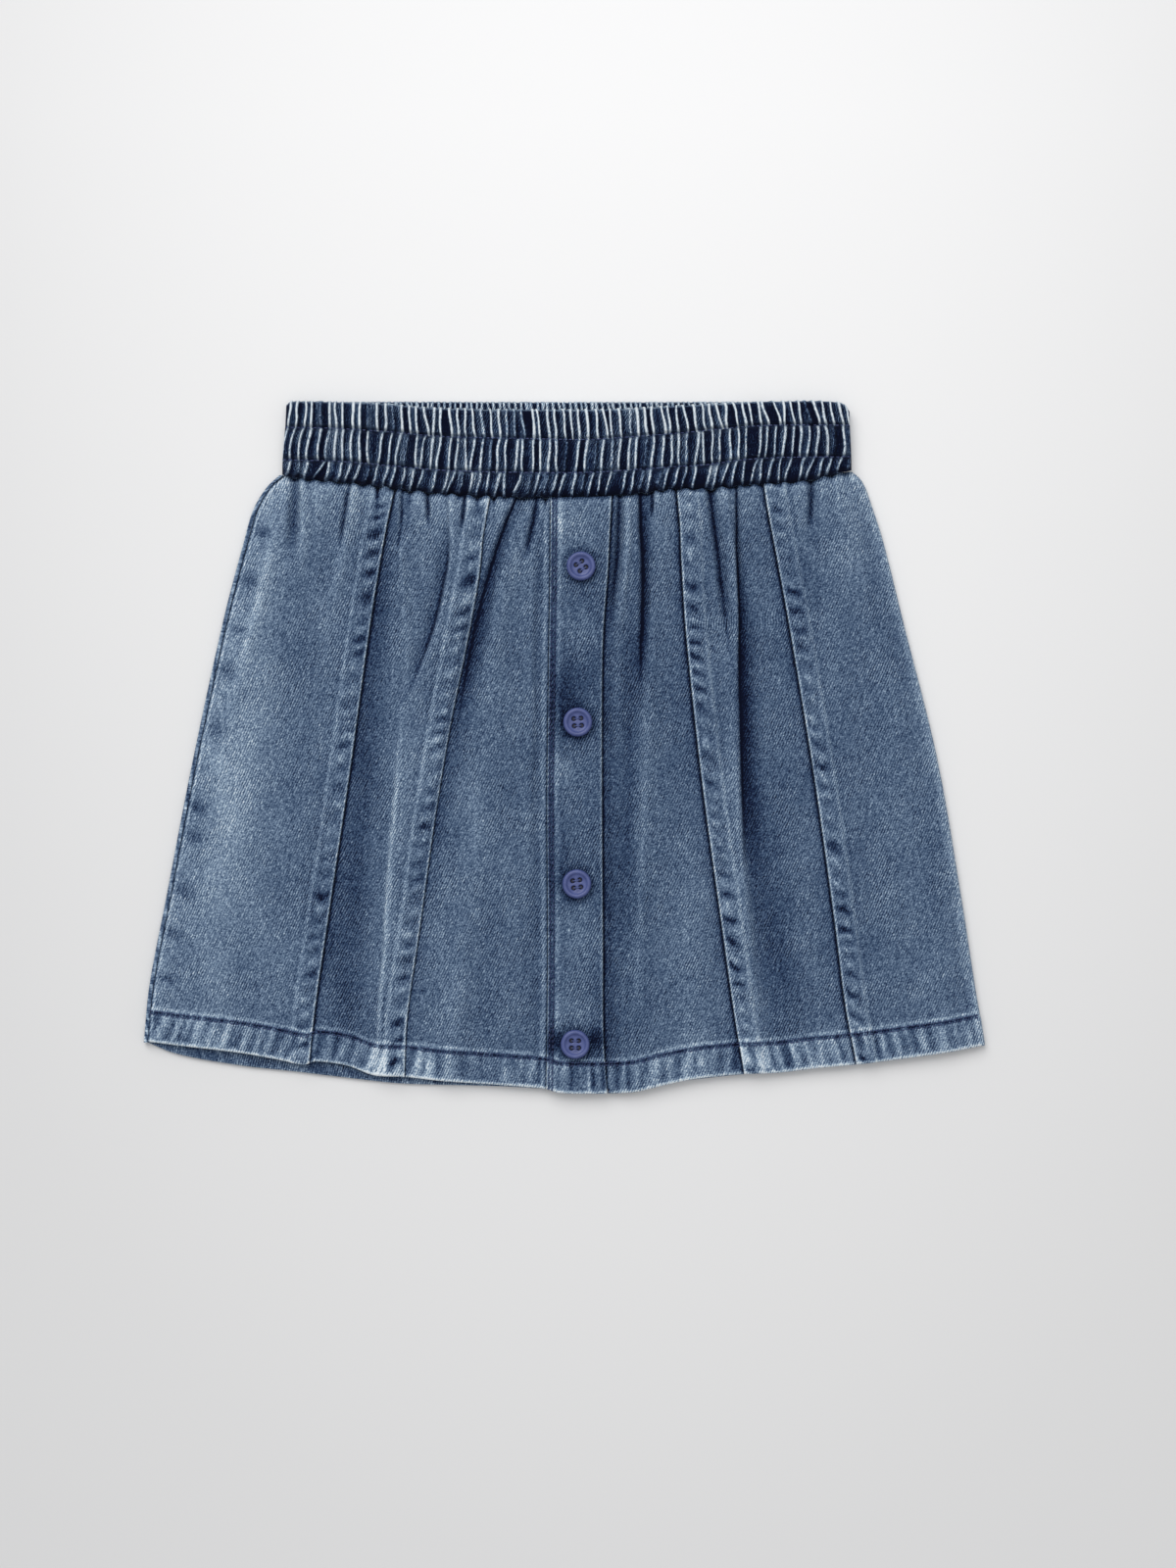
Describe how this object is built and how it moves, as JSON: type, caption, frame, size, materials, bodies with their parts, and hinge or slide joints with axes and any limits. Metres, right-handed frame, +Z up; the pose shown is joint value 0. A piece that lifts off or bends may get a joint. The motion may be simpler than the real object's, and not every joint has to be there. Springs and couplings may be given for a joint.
{
  "type": "denim skirt",
  "caption": "Girl's panelled denim skirt with a gathered elastic waistband and a buttoned front band, laid flat on its back.",
  "frame": {"origin": "on the surface that the skirt lies on, under the middle of its outline", "axes": "+X to the right of the skirt's front, +Y towards the waist, +Z up from the surface"},
  "size_m": [0.3612, 0.2975, 0.0087],
  "materials": {
    "denim": "mid blue washed cotton twill, matte",
    "denim_waistband": "mid blue washed cotton twill, gathered, dark between its ribs and pale on them, matte",
    "button_plastic": "dyed blue-violet plastic, soft satin",
    "sewing_thread": "dark blue cotton thread, matte",
    "button_thread": "pale blue cotton thread, matte"
  },
  "bodies": {
    "root": {"back_panel": "denim", "side_panel_left": "denim", "middle_panel_left": "denim", "inner_panel_left": "denim", "button_placket": "denim", "inner_panel_right": "denim", "middle_panel_right": "denim", "side_panel_right": "denim", "waistband_back": "denim_waistband", "waistband_front": "denim_waistband", "button_1": "button_plastic", "button_2": "button_plastic", "button_3": "button_plastic", "button_4": "button_plastic"}
  },
  "joints": []
}
